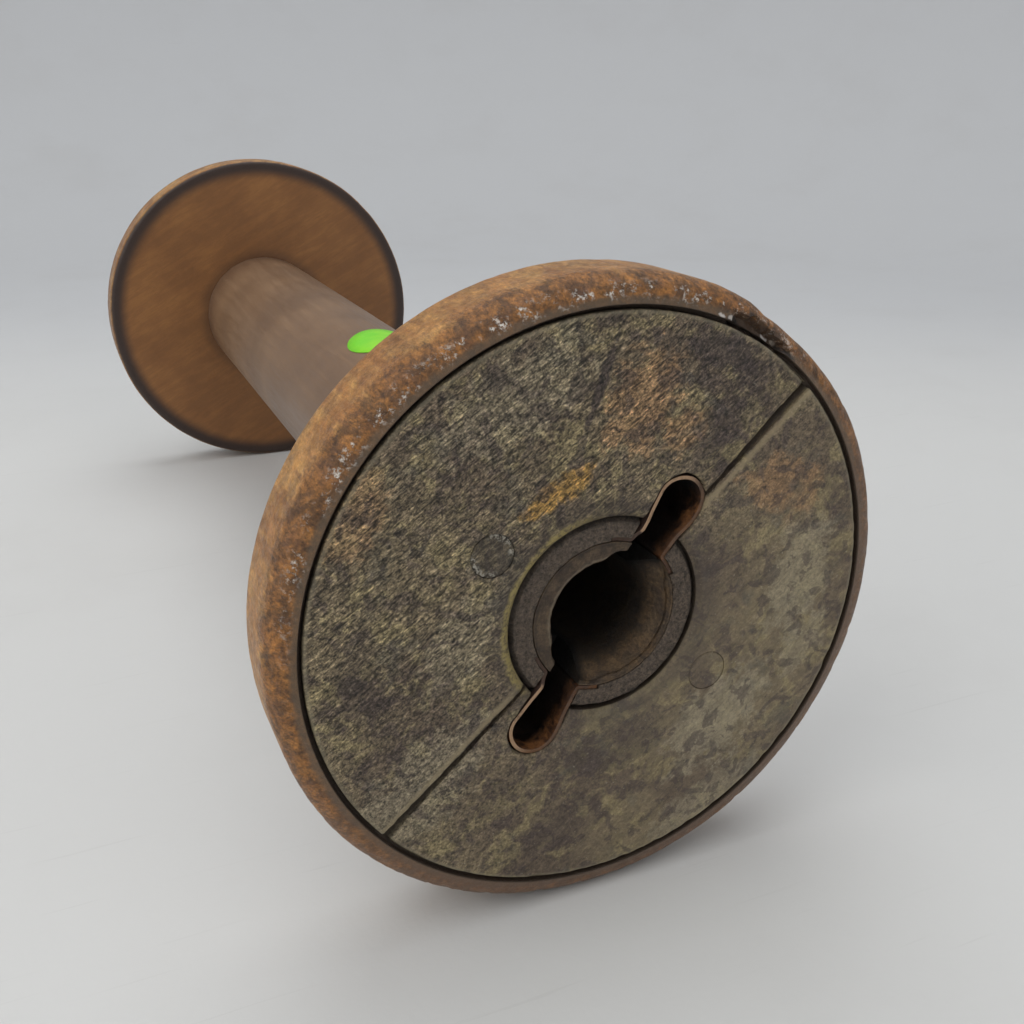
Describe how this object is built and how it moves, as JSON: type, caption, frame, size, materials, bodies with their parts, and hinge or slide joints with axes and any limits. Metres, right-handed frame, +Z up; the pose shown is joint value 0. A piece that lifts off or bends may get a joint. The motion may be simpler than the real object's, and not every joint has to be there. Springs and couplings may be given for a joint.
{
  "type": "textile mill bobbin",
  "caption": "Empty wooden bobbin with a round flanged head at each end, a spindle bore right through and steel-lined drive slots in both faces.",
  "frame": {"origin": "on the surface that the bobbin lies on, under the middle of the barrel", "axes": "+Y along the bobbin from the near end to the far end, +Z up, +X to the right of someone who looks at the near face"},
  "size_m": [0.1016, 0.2632, 0.1016],
  "materials": {
    "barrel_wood": "worn smooth, greyed",
    "head_wood": "old varnish, worn and pitted",
    "face_wood": "tarnished, mottled grey-olive, satin",
    "peg_wood": "dirty end grain",
    "bush_wood": "oil-dark, worn",
    "liner_steel": "rusty pressed sheet",
    "sticker_paper": "plain matt paper"
  },
  "bodies": {
    "root": {"barrel": "barrel_wood", "near_head": "head_wood", "far_head": "head_wood", "near_face_upper": "face_wood", "near_face_lower": "face_wood", "far_face_upper": "face_wood", "far_face_lower": "face_wood", "near_peg_upper": "peg_wood", "near_peg_lower": "peg_wood", "far_peg_upper": "peg_wood", "far_peg_lower": "peg_wood", "near_bush": "bush_wood", "far_bush": "bush_wood", "near_liner_upper": "liner_steel", "near_liner_lower": "liner_steel", "far_liner_upper": "liner_steel", "far_liner_lower": "liner_steel", "sticker": "sticker_paper"}
  },
  "joints": []
}
